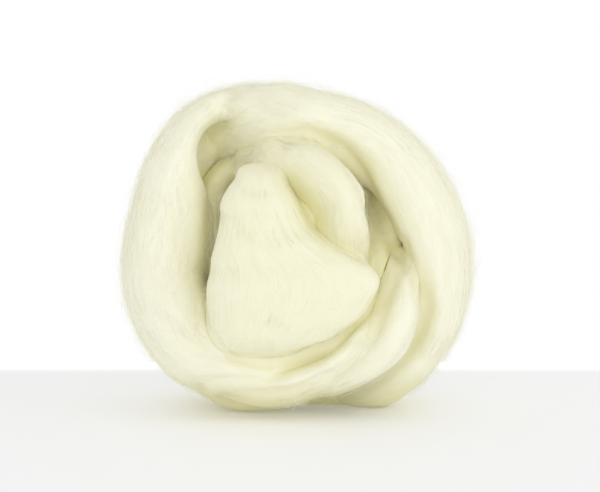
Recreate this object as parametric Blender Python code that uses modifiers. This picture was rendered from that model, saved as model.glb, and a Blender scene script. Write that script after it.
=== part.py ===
"""A ball of wool roving: one thick combed strand, wound round on itself with its end tucked into the face.

Metres, +Z up. The origin is on the surface that the ball rests on, under the middle of the ball.
The face that shows the tucked end looks along -Y.

Every turn of the strand is a table with a row for each place that it passes: how far right, up and
to the front of the ball's middle the strand's middle is there, and the half widths of the strand,
"wide" along the ball's surface and "thick" square to it, all in millimetres. The tucked end is read
as level slices, its "wide" being half of its breadth.
"""

from collections import namedtuple

import bmesh
import bpy
import numpy as np
from mathutils import Matrix, Vector

MM = 0.001
MIDDLE = Vector((0.6, -3.2, 51.5)) * MM  # that the tables are measured from
STATION_STEP = 5.5 * MM  # between the rings of a turn
TURN_SIDES = 22
SECTION_POWER = 2.3  # 2 is an ellipse, and more is a fuller section
END_LENGTH = 11 * MM  # over which a turn's end rounds off
END_LEAST = 0.3  # of the section, left at the very end
WOOL_COLOUR = (0.91, 0.88, 0.74, 1.0)
WOOL_ROUGHNESS = 0.9

Place = namedtuple("Place", "right up front wide thick")

# The outer turn comes over the top from the back, runs down the left side and along the foot, and
# rises at the right, where the right turn pinches it against the tucked end.
LEFT_TURN = [
    Place(12, -33, -20, 12, 10),
    Place(12, -18.5, -32, 14, 11),
    Place(10.5, -0.5, -37, 15, 11.5),
    Place(6.5, 18, -36, 15, 12),
    Place(-0.5, 31.5, -30, 14, 12),
    Place(-7.5, 39.5, -20, 12, 11.5),
    Place(-16.5, 45, -9, 10, 8),
    Place(-25, 45.5, 3, 9, 5),
    Place(-33, 41, 11, 9, 5),
    Place(-37.5, 34.5, 16, 9.5, 5.5),
    Place(-40, 25.5, 18, 10.5, 8),
    Place(-40.5, 16, 17, 12, 10.5),
    Place(-41.5, 4.5, 16, 13.5, 12.5),
    Place(-42, -7.5, 15, 15, 13),
    Place(-39, -19, 16, 15.5, 12.5),
    Place(-32, -29.5, 18, 14, 11.5),
    Place(-20.5, -35.5, 19, 12, 9.5),
    Place(-9, -38, 20, 11.5, 9),
    Place(2, -35, 22, 10, 8.5),
    Place(11, -30, 24, 8, 8),
    Place(18, -23, 23, 6.5, 7.5),
    Place(23.5, -15, 20, 5.5, 6.5),
    Place(26.5, -7.5, 15, 4.5, 5.5),
    Place(28.5, -1, 8, 4, 5),
]
# The back edge of that turn, which a lengthwise crease sets apart over the left shoulder.
SHOULDER_TURN = [
    Place(-10.5, -29.5, -28, 12, 10),
    Place(-12, -12, -34, 13, 11),
    Place(-10.5, 6.5, -36, 14, 11.5),
    Place(-10.5, 22.5, -33, 13, 11.5),
    Place(-14, 34, -27, 12, 11),
    Place(-23, 38.5, -17, 12, 11),
    Place(-32.5, 35.5, -7, 12, 10.5),
    Place(-39, 27, -1, 12.5, 10.5),
    Place(-42.5, 15, 2, 12.5, 10.5),
    Place(-43.5, 4.5, 4, 11, 10),
    Place(-42, -6, 6, 8, 8),
]
# Its lower edge, which a second crease sets apart along the foot.
FOOT_TURN = [
    Place(-42, -12, 2, 9, 9),
    Place(-39, -22.5, 4, 10.5, 10),
    Place(-30, -34, 3, 10, 9.5),
    Place(-19, -41.5, 3, 9.5, 10.5),
    Place(-8, -42.5, 6, 9, 9.5),
    Place(4, -38.5, 13, 8, 8),
    Place(15.5, -34.5, 18.5, 9, 9),
    Place(25, -27.5, 22, 9.5, 9.5),
    Place(29.5, -19, 22.5, 8.5, 9),
    Place(31, -11.5, 21.5, 6.5, 7.5),
    Place(31.5, -4.5, 18, 4.5, 5.5),
    Place(30.5, 1.5, 10, 4, 4.5),
]
# The turn behind it starts under the left turn, runs over the top and down the right side.
RIGHT_TURN = [
    Place(-40, 27.5, -20, 7, 7),
    Place(-35, 34, -14, 10, 9),
    Place(-27, 38, -6, 12, 10),
    Place(-17.5, 41, 0, 12, 10.5),
    Place(-8, 42.5, 8, 12, 10.5),
    Place(2.5, 41, 12.5, 12, 10),
    Place(14, 37.5, 11.5, 13, 11),
    Place(24, 31, 11.5, 14, 12),
    Place(33, 21, 12, 16, 12),
    Place(39.5, 9, 12, 16, 11.5),
    Place(43, -5, 10, 15, 10.5),
    Place(42.5, -16, 7, 14, 10.5),
    Place(38.5, -26, 3, 13, 11),
    Place(31.5, -34, 1, 12.5, 11.5),
    Place(24.5, -41, -6, 12, 11),
    Place(17.5, -41.5, -15, 12, 10),
    Place(7.5, -35.5, -22, 11, 9),
]
# The inner turn lies in the hollow at the left, passes behind the top of the tucked end and swells
# into the lobe at its right.
INNER_TURN = [
    Place(-16.5, -26, 0, 8, 8),
    Place(-22.5, -17.5, 1, 8.5, 8.5),
    Place(-29, -3, 2, 8, 6),
    Place(-30.5, 9.5, 4, 8, 5),
    Place(-29, 17.5, 5, 8, 5),
    Place(-25.5, 23, 3, 8, 5),
    Place(-19, 24.5, 0, 8.5, 6),
    Place(-11, 28, 7, 9.5, 8),
    Place(-2, 28, 18, 10, 10),
    Place(6.5, 24, 25, 9, 11),
    Place(12, 16.5, 27, 8.5, 12),
    Place(12.5, 7.5, 24.5, 8, 11),
    Place(13.5, -1, 18, 7, 9),
    Place(14.5, -9, 12, 5, 7),
]
# A short stretch of a turn beneath shows between that lobe and the right turn.
UNDER_PASS = [
    Place(17.5, 20.5, 2, 7, 7),
    Place(23.5, 12, 5, 8, 8),
    Place(25.5, 2.5, 9.5, 8, 8),
    Place(23, -8, 13, 7.5, 7.5),
    Place(15.5, -16, 14, 7, 7),
]
# The tucked end, a pad that fans out from its narrow top and is folded under at its foot.
TUCKED_END = [
    Place(-12, 28.5, 22, 8, 6),
    Place(-11.5, 25, 25.5, 8, 8.5),
    Place(-11.5, 21.5, 27.5, 8.5, 10),
    Place(-12, 16.5, 28.5, 10.5, 11.5),
    Place(-11.5, 12.5, 29, 12.5, 12),
    Place(-10.5, 8, 29.5, 15, 12.5),
    Place(-8, 3.5, 30, 18.5, 13),
    Place(-5, -0.5, 30, 22.5, 13),
    Place(-2.5, -4, 30, 25, 13),
    Place(-2, -8.5, 30, 26.5, 13),
    Place(-3, -13, 29.5, 25.5, 13),
    Place(-4.5, -18, 29, 23.5, 12.5),
    Place(-7, -22.5, 28, 20.5, 12),
    Place(-8, -26, 27, 18, 10.5),
    Place(-9.5, -29, 25, 15, 8.5),
    Place(-10.5, -32, 22.5, 10, 6),
]
# The turns that close the ball behind.
BACK_TURN = [
    Place(7.5, -39.5, -19, 11, 10),
    Place(-6, -43.5, -18, 13, 12),
    Place(-21, -38.5, -16, 15, 13),
    Place(-36.5, -28, -15, 16, 13),
    Place(-43.5, -11.5, -15, 17, 13),
    Place(-42.5, 6.5, -15, 17, 13),
    Place(-34, 23, -15, 16, 13),
    Place(-22, 34, -16, 15, 12),
    Place(-7, 39, -17, 14, 11),
    Place(7.5, 36, -18, 12, 10),
]
BACK_RIGHT_TURN = [
    Place(-14.5, 33, -14, 11, 10),
    Place(-1.5, 36.5, -14, 13, 11),
    Place(12.5, 36, -15, 15, 12),
    Place(26, 28.5, -16, 16, 13),
    Place(36.5, 15, -16, 17, 13.5),
    Place(42.5, -1.5, -16, 17, 13),
    Place(40.5, -19, -16, 16, 13),
    Place(31, -32.5, -16, 15, 12),
    Place(17.5, -42, -17, 14, 11),
    Place(0.5, -44.5, -19, 13, 11),
    Place(-14, -40, -20, 11, 10),
]
BACK_CROSSING = [
    Place(-37, 11.5, -22, 13, 11),
    Place(-28.5, 18, -28, 14, 11),
    Place(-15, 12, -33, 15, 11),
    Place(0.5, -0.5, -33, 16, 11),
    Place(16.5, -12.5, -31, 16, 11),
    Place(29, -22.5, -25, 14, 11),
    Place(35, -26, -16, 11, 9),
]
BACK_UNDER = [
    Place(-30.5, -31.5, -18, 13, 11),
    Place(-32, -20, -26, 15, 11),
    Place(-29, -7, -30, 15, 11),
    Place(-15, 6.5, -30, 14, 10),
    Place(12, 18, -28, 15, 10),
    Place(26.5, 13.5, -26, 15, 11),
    Place(34, 3, -20, 13, 11),
]
TURNS = (
    LEFT_TURN,
    SHOULDER_TURN,
    FOOT_TURN,
    RIGHT_TURN,
    INNER_TURN,
    UNDER_PASS,
    TUCKED_END,
    BACK_TURN,
    BACK_RIGHT_TURN,
    BACK_CROSSING,
    BACK_UNDER,
)
# The wound middle, which the turns hide.
CORE_HALF_SIZES = Vector((41, 29, 42)) * MM
CORE_OFFSET = Vector((0, 4, 0)) * MM
CUTTER_SIDE = 200 * MM
SKIN_CELL = 1.3 * MM  # of the grid that fuses the turns
KEPT_SHARE = 0.13  # of the skin's triangles


def clear_scene():
    for obj in list(bpy.data.objects):
        bpy.data.objects.remove(obj)


def in_metres(place):
    """A place as numbers that can be blended: x, y and z, and the two half widths."""
    return np.array([place.right, -place.front, place.up, place.wide, place.thick]) * MM


def smooth_between(rows, t):
    """The rows of numbers read at t, a row's number with a fraction, along a Catmull-Rom curve."""
    last = len(rows) - 1
    i = min(int(t), last - 1)
    f = t - i
    before = rows[i - 1] if i else 2 * rows[0] - rows[1]
    after = rows[i + 2] if i + 2 <= last else 2 * rows[last] - rows[last - 1]
    a, b = rows[i], rows[i + 1]
    bend = 2 * before - 5 * a + 4 * b - after
    twist = 3 * a - before - 3 * b + after
    return 0.5 * (2 * a + (b - before) * f + bend * f**2 + twist * f**3)


def stations(places):
    """The rows of a table blended to even steps along the strand."""
    rows = [in_metres(place) for place in places]
    fine = np.array([smooth_between(rows, t) for t in np.linspace(0, len(rows) - 1, 40 * len(rows))])
    travelled = np.concatenate([[0], np.cumsum(np.linalg.norm(np.diff(fine[:, :3], axis=0), axis=1))])
    count = round(travelled[-1] / STATION_STEP) + 1
    even = np.linspace(0, travelled[-1], count)
    found = np.array([np.interp(even, travelled, column) for column in fine.T]).T
    from_end = np.clip(np.minimum(even, even[::-1]) / END_LENGTH, 0, 1)
    found[:, 3:] *= np.clip(np.sqrt(1 - (1 - from_end) ** 2), END_LEAST, 1)[:, None]
    return found


def ring_matrices(places, level):
    """For each station, the matrix that lays the unit section there, square to the turn or level."""
    rows = stations(places)
    along = np.gradient(rows[:, :3], axis=0)
    found = []
    for row, step in zip(rows, along):
        centre = Vector(row[:3])
        forward = Vector((0, 0, -1)) if level else Vector(step).normalized()
        outward = Vector((0, -1, 0)) if level else (centre - forward * centre.dot(forward)).normalized()
        sideways = outward.cross(forward)
        turn = Matrix((sideways * row[3], outward * row[4], forward)).transposed().to_4x4()
        found.append(Matrix.Translation(centre + MIDDLE) @ turn)
    return found


def unit_section(body):
    """A circle of unit radius, filled out towards a square."""
    ring = bmesh.ops.create_circle(body, segments=TURN_SIDES, radius=1.0)["verts"]
    for vert in ring:
        across = abs(vert.co.x) ** SECTION_POWER + abs(vert.co.y) ** SECTION_POWER
        vert.co /= across ** (1 / SECTION_POWER)
    return ring


def add_turn(body, places):
    """Adds a closed turn: its section extruded from station to station along its table."""
    matrices = ring_matrices(places, level=places is TUCKED_END)
    ring = unit_section(body)
    edges = list({edge for vert in ring for edge in vert.link_edges})
    bmesh.ops.holes_fill(body, edges=edges, sides=TURN_SIDES)
    bmesh.ops.transform(body, matrix=matrices[0], verts=ring)
    for here, there in zip(matrices, matrices[1:]):
        grown = bmesh.ops.extrude_edge_only(body, edges=edges)["geom"]
        edges = [item for item in grown if isinstance(item, bmesh.types.BMEdge)]
        ring = [item for item in grown if isinstance(item, bmesh.types.BMVert)]
        bmesh.ops.transform(body, matrix=there @ here.inverted(), verts=ring)
    bmesh.ops.holes_fill(body, edges=edges, sides=TURN_SIDES)


def wound_strand():
    """All the turns over the wound middle, still overlapping."""
    body = bmesh.new()
    bmesh.ops.create_icosphere(body, subdivisions=3, radius=1.0)
    bmesh.ops.scale(body, vec=CORE_HALF_SIZES, verts=body.verts)
    bmesh.ops.translate(body, vec=MIDDLE + CORE_OFFSET, verts=body.verts)
    for places in TURNS:
        add_turn(body, places)
    bmesh.ops.recalc_face_normals(body, faces=body.faces)
    return body


def below_surface():
    body = bmesh.new()
    bmesh.ops.create_cube(body, size=CUTTER_SIDE)
    bmesh.ops.translate(body, vec=(0, 0, -CUTTER_SIDE / 2), verts=body.verts)
    return body


def to_object(body, name, collection):
    mesh = bpy.data.meshes.new(name)
    body.to_mesh(mesh)
    body.free()
    obj = bpy.data.objects.new(name, mesh)
    collection.objects.link(obj)
    return obj


def fuse(ball):
    """Makes one skin of the overlapping turns, its creases a little soft as pressed wool leaves them."""
    skin = ball.modifiers.new("one skin", "REMESH")
    skin.mode = "VOXEL"
    skin.voxel_size = SKIN_CELL
    soften = ball.modifiers.new("soften", "SMOOTH")
    soften.factor = 0.5
    soften.iterations = 3
    thin = ball.modifiers.new("thin out", "DECIMATE")
    thin.ratio = KEPT_SHARE


def cut(target, cutter):
    step = target.modifiers.new(cutter.name, "BOOLEAN")
    step.operation = "DIFFERENCE"
    step.solver = "EXACT"
    step.object = cutter


def wool():
    found = bpy.data.materials.new("wool")
    found.use_nodes = True
    shader = found.node_tree.nodes["Principled BSDF"]
    shader.inputs["Base Color"].default_value = WOOL_COLOUR
    shader.inputs["Roughness"].default_value = WOOL_ROUGHNESS
    return found


def main():
    clear_scene()
    part = bpy.data.collections.new("wool_roving")
    helpers = bpy.data.collections.new("helpers")
    bpy.context.scene.collection.children.link(part)
    bpy.context.scene.collection.children.link(helpers)

    ball = to_object(wound_strand(), "roving_ball", part)
    ball.data.materials.append(wool())
    fuse(ball)
    cutter = to_object(below_surface(), "below_surface", helpers)
    cutter.hide_render = True
    cutter.display_type = "WIRE"
    cut(ball, cutter)


main()
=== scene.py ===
"""The looks of a ball of combed wool roving.

The ball is one thick strand of combed wool, wound round on itself. Every turn that shows is swept
along its own table, given the ripple that its fibres make, and covered with laid and loose fibres.
Metres, +Z up. The face with the tucked end looks along -Y.
"""

import functools
import math
from collections import namedtuple

import bmesh
import bpy
import numpy as np
from bpy.props import FloatProperty, FloatVectorProperty, IntProperty, PointerProperty
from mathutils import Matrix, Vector
from mathutils.bvhtree import BVHTree


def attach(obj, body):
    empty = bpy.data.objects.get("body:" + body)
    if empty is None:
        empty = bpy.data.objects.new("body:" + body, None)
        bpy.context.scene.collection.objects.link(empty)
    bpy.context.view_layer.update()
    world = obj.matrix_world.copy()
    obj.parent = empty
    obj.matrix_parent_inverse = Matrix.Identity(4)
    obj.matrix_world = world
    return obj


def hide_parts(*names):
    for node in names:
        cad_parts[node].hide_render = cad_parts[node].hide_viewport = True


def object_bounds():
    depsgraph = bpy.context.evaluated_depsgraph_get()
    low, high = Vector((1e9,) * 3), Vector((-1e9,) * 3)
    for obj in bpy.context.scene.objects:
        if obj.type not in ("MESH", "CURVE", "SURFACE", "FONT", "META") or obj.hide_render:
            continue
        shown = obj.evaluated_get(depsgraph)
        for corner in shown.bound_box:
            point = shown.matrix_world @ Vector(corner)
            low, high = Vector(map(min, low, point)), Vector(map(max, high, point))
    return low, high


bl_info = {
    "name": "Wool roving ball",
    "version": (1, 0, 0),
    "blender": (4, 5, 0),
    "location": "3D View > Sidebar > Roving",
    "description": "Builds a ball of combed wool roving, turn by turn",
    "category": "Object",
}

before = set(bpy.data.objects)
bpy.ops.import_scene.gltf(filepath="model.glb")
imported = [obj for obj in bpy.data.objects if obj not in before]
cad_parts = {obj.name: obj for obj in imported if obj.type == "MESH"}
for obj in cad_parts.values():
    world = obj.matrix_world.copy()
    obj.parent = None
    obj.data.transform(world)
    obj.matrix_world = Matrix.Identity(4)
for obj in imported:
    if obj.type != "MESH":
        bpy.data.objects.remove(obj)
CAD_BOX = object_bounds()

MM = 0.001
CAD_NODE = "roving_ball"
MIDDLE = np.array([0.6, -3.2, 51.5])  # of the ball, in millimetres, that the tables are measured from

TABLE_REACH = 0.5  # to the sides and to the front
TABLE_BEHIND = 0.105
TABLE_FADE = 0.03  # before its far edge, where it turns as white as the backdrop
FAR_GLOW = 0.5  # at that edge
LIT_PLACE = (0, 0, 0.05)  # that both lights are aimed at
RIGHT_LIGHT = ((1.0, -0.6, 0.4), 0.8)  # its place and its size
FRONT_LIGHT = ((0.0, -1.5, 0.25), 1.0)
CAMERA_LENS, SENSOR_WIDTH = 100.0, 36.0  # in millimetres
CAMERA_DISTANCE = 0.536
CAMERA_RISE = math.radians(4.0)
CAMERA_AIM = (0, 0, 1.3)  # from the ball's middle, in millimetres

# Each turn is a list of places: how far right, up and to the front of the ball's middle the strand's
# middle is, and its half widths along the ball's surface and square to it, in millimetres. Ends that
# don't show dive under the turns next to them.

# The outer turn comes over the top from the back, runs down the left side and along the foot, and
# rises at the right, where the right turn pinches it against the tucked end.
LEFT_TURN = [
    (11.5, -36.5, -4, 8, 8), (12, -33, -20, 12, 10), (12, -18.5, -32, 14, 11),
    (10.5, -0.5, -37, 15, 11.5), (6.5, 18, -36, 15, 12), (-0.5, 31.5, -30, 14, 12),
    (-7.5, 39.5, -20, 12, 11.5), (-16.5, 45, -9, 10, 8), (-25, 45.5, 3, 9, 5), (-33, 41, 11, 9, 5),
    (-37.5, 34.5, 16, 9.5, 5.5), (-40, 25.5, 18, 10.5, 8), (-40.5, 16, 17, 12, 10.5),
    (-41.5, 4.5, 16, 13.5, 12.5), (-42, -7.5, 15, 15, 13), (-39, -19, 16, 15.5, 12.5),
    (-32, -29.5, 18, 14, 11.5), (-20.5, -35.5, 19, 12, 9.5), (-9, -38, 20, 11.5, 9),
    (2, -35, 22, 10, 8.5), (11, -30, 24, 8, 8), (18, -23, 23, 6.5, 7.5), (23.5, -15, 20, 5.5, 6.5),
    (26.5, -7.5, 15, 4.5, 5.5), (28.5, -1, 8, 4, 5),
]
# The back edge of that turn, which a lengthwise crease sets apart over the left shoulder.
SHOULDER_TURN = [
    (-10.5, -36.5, -12, 8, 8), (-10.5, -29.5, -28, 12, 10), (-12, -12, -34, 13, 11),
    (-10.5, 6.5, -36, 14, 11.5), (-10.5, 22.5, -33, 13, 11.5), (-14, 34, -27, 12, 11),
    (-23, 38.5, -17, 12, 11), (-32.5, 35.5, -7, 12, 10.5), (-39, 27, -1, 12.5, 10.5),
    (-42.5, 15, 2, 12.5, 10.5), (-43.5, 4.5, 4, 11, 10), (-42, -6, 6, 8, 8),
]
# Its lower edge, which a second crease sets apart along the foot.
FOOT_TURN = [
    (-42, -12, 2, 9, 9), (-39, -22.5, 4, 10.5, 10), (-30, -34, 3, 10, 9.5), (-19, -41.5, 3, 9.5, 10.5),
    (-8, -42.5, 6, 9, 9.5), (4, -38.5, 13, 8, 8), (15.5, -34.5, 18.5, 9, 9), (25, -27.5, 22, 9.5, 9.5),
    (29.5, -19, 22.5, 8.5, 9), (31, -11.5, 21.5, 6.5, 7.5), (31.5, -4.5, 18, 4.5, 5.5),
    (30.5, 1.5, 10, 4, 4.5),
]
# The turn behind it starts under the left turn, runs over the top and down the right side.
RIGHT_TURN = [
    (-40, 27.5, -20, 7, 7), (-35, 34, -14, 10, 9), (-27, 38, -6, 12, 10), (-17.5, 41, 0, 12, 10.5),
    (-8, 42.5, 8, 12, 10.5), (2.5, 41, 12.5, 12, 10), (14, 37.5, 11.5, 13, 11), (24, 31, 11.5, 14, 12),
    (33, 21, 12, 16, 12), (39.5, 9, 12, 16, 11.5), (43, -5, 10, 15, 10.5), (42.5, -16, 7, 14, 10.5),
    (38.5, -26, 3, 13, 11), (31.5, -34, 1, 12.5, 11.5), (24.5, -41, -6, 12, 11),
    (17.5, -41.5, -15, 12, 10), (7.5, -35.5, -22, 11, 9),
]
# The inner turn lies in the hollow at the left, passes behind the top of the tucked end and swells
# into the lobe at its right.
INNER_TURN = [
    (-16.5, -26, 0, 8, 8), (-22.5, -17, 6, 8.5, 8.5), (-28.5, -2.5, 8.5, 8, 6), (-30.5, 9.5, 9, 8, 5),
    (-29, 17.5, 5, 8, 5), (-25.5, 23, 3, 8, 5), (-19, 24.5, 0, 8.5, 6), (-11, 28, 7, 9.5, 8),
    (-2, 28, 18, 10, 10), (6.5, 24, 25, 9, 11), (12, 16.5, 27, 8.5, 12), (12.5, 7.5, 24.5, 8, 11),
    (13.5, -1, 18, 7, 9), (14.5, -9, 12, 5, 7),
]
# A short stretch of a turn beneath shows between that lobe and the right turn.
UNDER_PASS = [
    (17.5, 20.5, 2, 7, 7), (23.5, 12, 5, 8, 8), (25.5, 2.5, 9.5, 8, 8), (23, -8, 13, 7.5, 7.5),
    (15.5, -16, 14, 7, 7),
]
# The tucked end, a pad that fans out from its narrow top and is folded under at its foot.
TUCKED_END = [
    (-12, 28.5, 22, 9, 6), (-12, 25, 25.5, 8, 8.5), (-12.5, 21.5, 27.5, 9.5, 10),
    (-12.5, 16.5, 28.5, 12, 11.5), (-11.5, 12.5, 29, 13, 12), (-10.5, 8, 29.5, 15, 12.5),
    (-8, 3.5, 30, 18.5, 13), (-5, -0.5, 30, 22.5, 13), (-2.5, -4, 30, 25, 13), (-2, -8.5, 30, 26.5, 13),
    (-3, -13, 29.5, 25.5, 13), (-4.5, -18, 29, 23.5, 12.5), (-7, -22.5, 28, 20.5, 12),
    (-8, -26, 27, 18, 10.5), (-9.5, -29, 25, 15, 8.5), (-10.5, -32, 22.5, 10, 6),
]
# The turns that close the ball behind.
BACK_TURN = [
    (7.5, -39.5, -19, 11, 10), (-6, -43.5, -18, 13, 12), (-21, -38.5, -16, 15, 13),
    (-36.5, -28, -15, 16, 13), (-43.5, -11.5, -15, 17, 13), (-42.5, 6.5, -15, 17, 13),
    (-34, 23, -15, 16, 13), (-22, 34, -16, 15, 12), (-7, 39, -17, 14, 11), (7.5, 36, -18, 12, 10),
    (15, 30, -6, 8, 8),
]
BACK_RIGHT_TURN = [
    (-14.5, 33, -14, 11, 10), (-1.5, 36.5, -14, 13, 11), (12.5, 36, -15, 15, 12),
    (26, 28.5, -16, 16, 13), (36.5, 15, -16, 17, 13.5), (42.5, -1.5, -16, 17, 13),
    (40.5, -19, -16, 16, 13), (31, -32.5, -16, 15, 12), (17.5, -42, -17, 14, 11),
    (0.5, -44.5, -19, 13, 11), (-14, -40, -20, 11, 10), (-22, -32.5, -8, 8, 8),
]
BACK_CROSSING = [
    (-37, 5, -6, 8, 8), (-37, 11.5, -22, 13, 11), (-28.5, 18, -28, 14, 11), (-15, 12, -33, 15, 11),
    (0.5, -0.5, -33, 16, 11), (16.5, -12.5, -31, 16, 11), (29, -22.5, -25, 14, 11),
    (35, -26, -16, 11, 9), (35.5, -23, -3, 7, 7),
]
BACK_UNDER = [
    (-27, -36, -4, 8, 8), (-30.5, -31.5, -18, 13, 11), (-32, -20, -26, 15, 11), (-29, -7, -30, 15, 11),
    (-15, 6.5, -30, 14, 10), (12, 18, -28, 15, 10), (26.5, 13.5, -26, 15, 11), (34, 3, -20, 13, 11),
    (35.5, -4.5, -5, 8, 8),
]
# A strand deep in the crease between the tucked end and the lobe.
DEEP_PASS = [
    (-4, 27.5, 12, 5, 5), (-0.5, 22.5, 18.5, 6, 5), (2, 17.5, 22, 6, 5), (5, 12, 23.8, 6.5, 5),
    (8.5, 7, 22, 6.5, 5), (12, 1.5, 12, 5, 5),
]
# A lock of wool combed over the place where the left turn and the right turn cross.
CROSSING_LOCK = [
    (-33, 41.5, 12, 4, 4), (-28, 44, 11.5, 4.5, 4.5), (-23, 46, 10.5, 4.5, 4.5),
    (-18.5, 46.5, 11, 4.5, 4.5), (-14, 46.5, 12.5, 4.5, 4.5), (-9, 46, 15, 4.5, 4.5),
    (-4, 45, 17, 4.5, 4.5), (1, 43, 18.5, 4, 4),
]
# The wound middle, which shows only at the bottoms of creases: an egg of these half sizes, set back.
MIDDLE_HALF = np.array([41.0, 24.0, 42.0])
MIDDLE_BACK = 9.0
WOUND_MIDDLE = [
    (0, MIDDLE_HALF[2] * math.cos(a), -MIDDLE_BACK, *(MIDDLE_HALF[:2] * math.sin(a)))
    for a in np.linspace(0.15, math.pi - 0.15, 15)
]

# A turn's places, the seed of its ripple, its steps along and round in millimetres, how strongly it is
# rippled, how thickly fibres are laid on it, and whether its places are level slices.
Turn = namedtuple("Turn", "places seed step_along step_round rippled laid level", defaults=(1, 1, False))
OUTER_TURNS = {
    "left_turn": Turn(LEFT_TURN, 11, 1.6, 0.75),
    "shoulder_turn": Turn(SHOULDER_TURN, 12, 1.6, 0.75),
    "foot_turn": Turn(FOOT_TURN, 13, 1.6, 0.75),
    "right_turn": Turn(RIGHT_TURN, 14, 1.6, 0.75),
    "crossing_lock": Turn(CROSSING_LOCK, 15, 1.6, 0.75, 0.5, 1.5),
}
INNER_TURNS = {
    "inner_turn": Turn(INNER_TURN, 21, 1.3, 0.7),
    "under_pass": Turn(UNDER_PASS, 22, 1.3, 0.7),
    "deep_pass": Turn(DEEP_PASS, 25, 1.3, 0.8, 0.5, 0.5),
    "wound_middle": Turn(WOUND_MIDDLE, 24, 2.5, 2.5, 0.0, 0.0, True),
    "tucked_end": Turn(TUCKED_END, 23, 0.7, 0.7, 0.9, 0.3, True),
}
BACK_TURNS = {
    "back_turn": Turn(BACK_TURN, 31, 2.2, 0.9),
    "back_right_turn": Turn(BACK_RIGHT_TURN, 32, 2.2, 0.9),
    "back_crossing": Turn(BACK_CROSSING, 33, 2.2, 0.9),
    "back_under": Turn(BACK_UNDER, 34, 2.2, 0.9),
}
EVERY_TURN = {**OUTER_TURNS, **INNER_TURNS, **BACK_TURNS}

# The form of a turn, in millimetres.
FINE_STEPS = 60  # between two of its places, while it is measured
SECTION_POWER = 2.3  # 2 is an ellipse, and more is a fuller section
END_LENGTH = 11.0  # over which a turn's end rounds off
PAD_END_LENGTH = 5.5  # and the blunt top of the tucked end
ENDS_CLOSER = 0.3  # how much closer together a turn's rows are towards its ends
OUTSIDE_CLOSER = 0.45  # and its columns on its outer side
SINK = 0.35  # the skin lies this far inside the outline of its places, and the fibres fill it out
FACE_FROM = 4  # folds are in what lies further forward than this
FOLD_ENDS = 0.12  # of the half wave by which a fold dies away, cut off at each of its ends
FLAT_SPOT = 0.15  # of the wool above the table, where the ball is pressed flat
PRESSED_SOFTLY = 0.6  # over which it comes to that

# What the fibres do to a turn's surface: how long and how broad a ripple is, its height, and whether
# it is a narrow groove.
Ripple = namedtuple("Ripple", "length breadth height grooved")
RIPPLES = (
    Ripple(26.0, 14.0, 0.45, False),
    Ripple(34.0, 6.0, 0.06, True),
    Ripple(22.0, 2.2, 0.012, True),
)
RIPPLE_FADE = 14  # over which they die away at a turn's ends
WANDER = 1.6  # how far a ripple strays sideways
WANDER_LENGTH, WANDERS_ROUND = 24, 5  # how long each stray is, and how many there are round a turn

# Painted shade: how shut in the wool is by other wool and by the table darkens its colour towards the
# painted shade colour, in creases, hollows and along the table.
HOLLOW_RAYS = 16  # ways out that are tried from each place, to find where the wool is shut in
HOLLOW_DEPTH = 14 * MM  # how far each is followed
HOLLOW_START = 0.3 * MM  # and how far above the wool it starts
GOLDEN_ANGLE = 2.39996
INNER_PAINTED_SHADE = 0.22  # painted shade laid over every inner turn, as if it were this much more shut in

# Fibres. A pair in brackets is the least and the most, as a share of what is usual.
STRAY = 0.16  # how far a fibre strays sideways, for its length
BOWS, ENDS_SINK = (0.2, 1.0), 0.25  # how far a laid fibre bows off the turn, and its ends sink in
SWAY, CURLS = 0.7, (0.5, 1.6)  # how far a loose end sways, for its rise, and in how many half turns
FUZZ_TURNED = 0.6  # how far fuzz turns off the strand's way, in radians
FUZZ_CURL, FRAY_CURL = 0.12, 0.25  # how far it and a frayed fibre curl, for their length
FUZZ_TOPS, FUZZ_ARCH = (0.2, 0.8), 0.75  # where along fuzz it stands highest, and how broad it arches
LOOSE_RISES, FUZZ_RISES = 2.0, 1.6  # how alike the fibres stand off, where more is more alike
END_MARGIN = 2.5  # of a turn, left without laid fibres at each end
LAID_ROUND, FUZZ_ROUND = 0.36, 0.4  # how far round to each side of a turn's outer line they lie
LAID_LENGTHS, FUZZ_LENGTHS = (0.55, 1.45), (0.5, 1.5)
THICKNESSES = (0.6, 1.25)
LONG_TAPER = np.array([0.0, 0.7, 1.0, 1.0, 0.7, 0.0])  # how thick a fibre is at each of its stations
SHORT_TAPER = np.array([0.0, 1.0, 0.9, 0.0])
TRIED, KEPT = 1.6, 1.3  # fibres tried on a turn, and kept there at most, for each one wanted
DEEPEST = 0.9 * MM  # below the ball's outside
MOST_SHUT_IN = 0.75
LOWEST = 0.05 * MM  # above the table
ROOT = 0.05 * MM  # of a stray fibre, in the wool

# Streaks of the wool's colour: their length and breadth, and how finely they are broken up.
BROAD_STREAKS = (30 * MM, 4 * MM, 2.0)
FINE_STREAKS = (12 * MM, 0.5 * MM, 3.0)
FINE_RELIEF = 0.06 * MM  # of the fine ones
FIBRE_GRAIN = 900.0  # patches of lighter and deeper fibres, to the metre

CREASE_REACH = 3.0  # stray wool fills the crease between two turns that are nearer than this
LEAST_REACH = 0.5
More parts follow.
